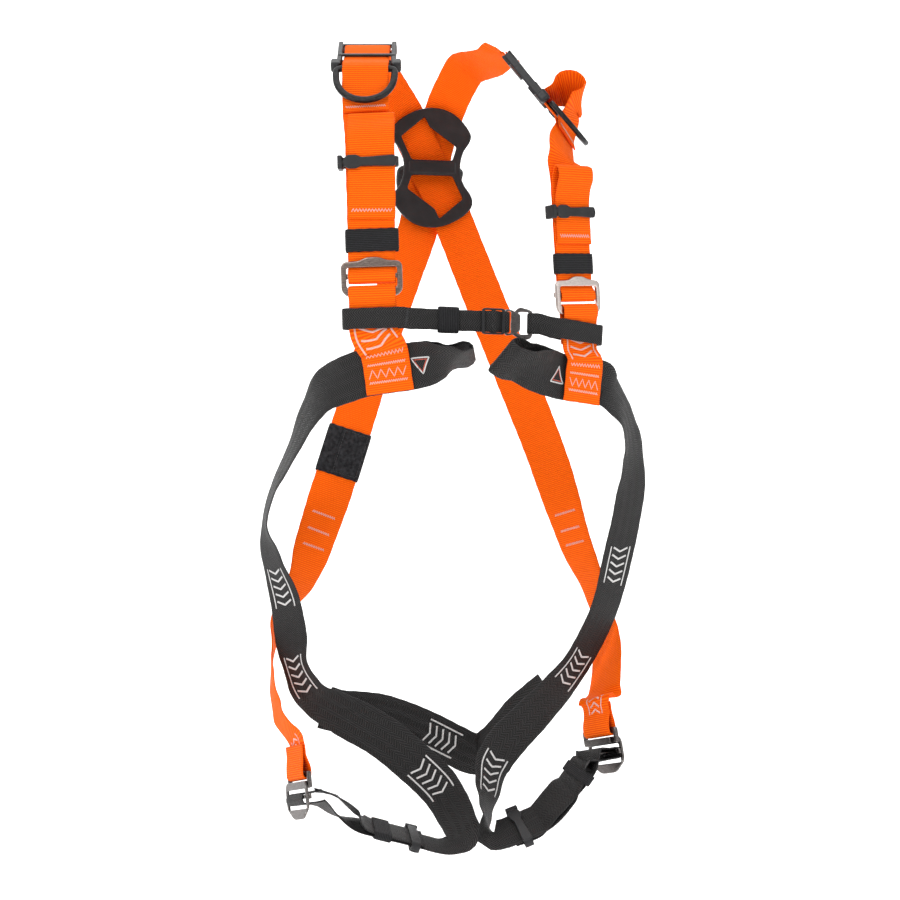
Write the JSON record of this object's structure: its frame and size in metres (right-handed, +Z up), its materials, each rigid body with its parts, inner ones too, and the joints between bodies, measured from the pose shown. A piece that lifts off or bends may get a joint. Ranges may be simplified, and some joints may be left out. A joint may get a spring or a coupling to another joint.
{
  "type": "full-body safety harness",
  "caption": "Full-body fall-arrest harness in its worn shape: orange and black webbing, dorsal plate and ring, shoulder rings, steel adjusters, chest strap and leg buckles.",
  "frame": {"origin": "centre of the rib on the dorsal plate's crossbar, on its flat front face", "axes": "+Z up, the wearer faces -Y, the wearer's right side is -X"},
  "size_m": [0.4091, 0.3373, 0.8397],
  "materials": {
    "orange_webbing": "woven, fluorescent",
    "black_webbing": "woven twill",
    "black_plastic": "moulded, satin",
    "black_forged": "black finish on forged metal",
    "steel": "stamped, satin with bright edges",
    "elastic": "ribbed elastic",
    "cover_fabric": "napped hook-and-loop cloth"
  },
  "bodies": {
    "harness": {"main_strap_right": "orange_webbing", "main_strap_left": "orange_webbing", "front_strap_right": "orange_webbing", "front_strap_left": "orange_webbing", "shoulder_loop_right": "orange_webbing", "shoulder_loop_left": "orange_webbing", "hip_strap_right": "black_webbing", "hip_strap_left": "black_webbing", "seat_strap": "black_webbing", "chest_loop_right": "black_webbing", "chest_strap_left": "black_webbing", "dorsal_plate": "black_plastic", "ring_carrier_right": "black_plastic", "ring_carrier_left": "black_plastic", "adjuster_right": "steel", "adjuster_left": "steel", "leg_frame_right": "steel", "leg_frame_left": "steel", "leg_plate_right": "steel", "leg_plate_left": "steel", "chest_ring": "steel", "label_cover": "cover_fabric"},
    "dorsal_ring_body": {"dorsal_ring": "black_forged"},
    "shoulder_ring_right_body": {"shoulder_ring_right": "black_forged"},
    "shoulder_ring_left_body": {"shoulder_ring_left": "black_forged"},
    "adjuster_bar_right_body": {"adjuster_bar_right": "steel"},
    "adjuster_bar_left_body": {"adjuster_bar_left": "steel"},
    "leg_bar_right_body": {"leg_bar_right": "steel"},
    "leg_bar_left_body": {"leg_bar_left": "steel"},
    "shoulder_keeper_right_body": {"shoulder_keeper_right": "black_plastic"},
    "shoulder_keeper_left_body": {"shoulder_keeper_left": "black_plastic"},
    "shoulder_elastic_right_body": {"shoulder_elastic_right": "elastic"},
    "shoulder_elastic_left_body": {"shoulder_elastic_left": "elastic"},
    "leg_keeper_right_body": {"leg_keeper_right": "black_plastic"},
    "leg_keeper_left_body": {"leg_keeper_left": "black_plastic"},
    "leg_elastic_right_body": {"leg_elastic_right": "elastic"},
    "leg_elastic_left_body": {"leg_elastic_left": "elastic"},
    "chest_gate": {"chest_strap_right": "black_webbing", "chest_glide": "black_plastic", "chest_hook": "steel"},
    "chest_keeper_body": {"chest_keeper": "elastic"},
    "label_flap_body": {"label_flap": "cover_fabric"}
  },
  "joints": [
    {"name": "dorsal_ring_swing", "type": "hinge", "parent": "harness", "child": "dorsal_ring_body", "pos_m": [0, 0.0117, 0], "axis": [1, 0, 0], "range_deg": [-20, 75]},
    {"name": "shoulder_ring_right_swing", "type": "hinge", "parent": "harness", "child": "shoulder_ring_right_body", "pos_m": [-0.0976, -0.19282, 0.0556], "axis": [-0.9848, 0.1736, 0], "range_deg": [0, 70]},
    {"name": "shoulder_ring_left_swing", "type": "hinge", "parent": "harness", "child": "shoulder_ring_left_body", "pos_m": [0.09724, -0.18219, 0.02575], "axis": [-0.4343, -0.9002, 0.0323], "range_deg": [0, 60]},
    {"name": "adjuster_bar_right_slide", "type": "slide", "parent": "harness", "child": "adjuster_bar_right_body", "axis": [-0.0273, 0.0058, 0.9996], "range_m": [-0.003, 0]},
    {"name": "adjuster_bar_left_slide", "type": "slide", "parent": "harness", "child": "adjuster_bar_left_body", "axis": [-0.0693, -0.0368, 0.9969], "range_m": [-0.003, 0]},
    {"name": "leg_bar_right_slide", "type": "slide", "parent": "harness", "child": "leg_bar_right_body", "axis": [-0.08, 0.2462, 0.9659], "range_m": [-0.003, 0]},
    {"name": "leg_bar_left_slide", "type": "slide", "parent": "harness", "child": "leg_bar_left_body", "axis": [-0.097, 0.24, 0.9659], "range_m": [-0.003, 0]},
    {"name": "shoulder_keeper_right_slide", "type": "slide", "parent": "harness", "child": "shoulder_keeper_right_body", "axis": [-0.0273, 0.0058, 0.9996], "range_m": [-0.03, 0.006]},
    {"name": "shoulder_keeper_left_slide", "type": "slide", "parent": "harness", "child": "shoulder_keeper_left_body", "axis": [-0.0693, -0.0368, 0.9969], "range_m": [-0.018, 0.003]},
    {"name": "shoulder_elastic_right_slide", "type": "slide", "parent": "harness", "child": "shoulder_elastic_right_body", "axis": [-0.0273, 0.0058, 0.9996], "range_m": [-0.003, 0.006]},
    {"name": "shoulder_elastic_left_slide", "type": "slide", "parent": "harness", "child": "shoulder_elastic_left_body", "axis": [-0.0693, -0.0368, 0.9969], "range_m": [-0.002, 0.006]},
    {"name": "leg_keeper_right_slide", "type": "slide", "parent": "harness", "child": "leg_keeper_right_body", "axis": [-0.9598, 0.02, 0.2799], "range_m": [-0.006, 0.006]},
    {"name": "leg_keeper_left_slide", "type": "slide", "parent": "harness", "child": "leg_keeper_left_body", "axis": [0.9424, 0, 0.3344], "range_m": [-0.003, 0.003]},
    {"name": "leg_elastic_right_slide", "type": "slide", "parent": "harness", "child": "leg_elastic_right_body", "axis": [-0.9598, 0.02, 0.2799], "range_m": [-0.006, 0]},
    {"name": "leg_elastic_left_slide", "type": "slide", "parent": "harness", "child": "leg_elastic_left_body", "axis": [0.6215, 0.0501, 0.7818], "range_m": [-0.003, 0]},
    {"name": "chest_gate_swing", "type": "hinge", "parent": "harness", "child": "chest_gate", "pos_m": [-0.0561, -0.24934, -0.19226], "axis": [-0.0174, -0.0012, -0.9998], "range_deg": [0, 60]},
    {"name": "chest_keeper_slide", "type": "slide", "parent": "chest_gate", "child": "chest_keeper_body", "axis": [0.9974, 0.0697, -0.0175], "range_m": [-0.006, 0.004]},
    {"name": "label_flap_hinge", "type": "hinge", "parent": "harness", "child": "label_flap_body", "pos_m": [-0.0811, -0.03806, -0.32545], "axis": [0.3116, 0.1709, 0.9347], "range_deg": [0, 120]}
  ]
}
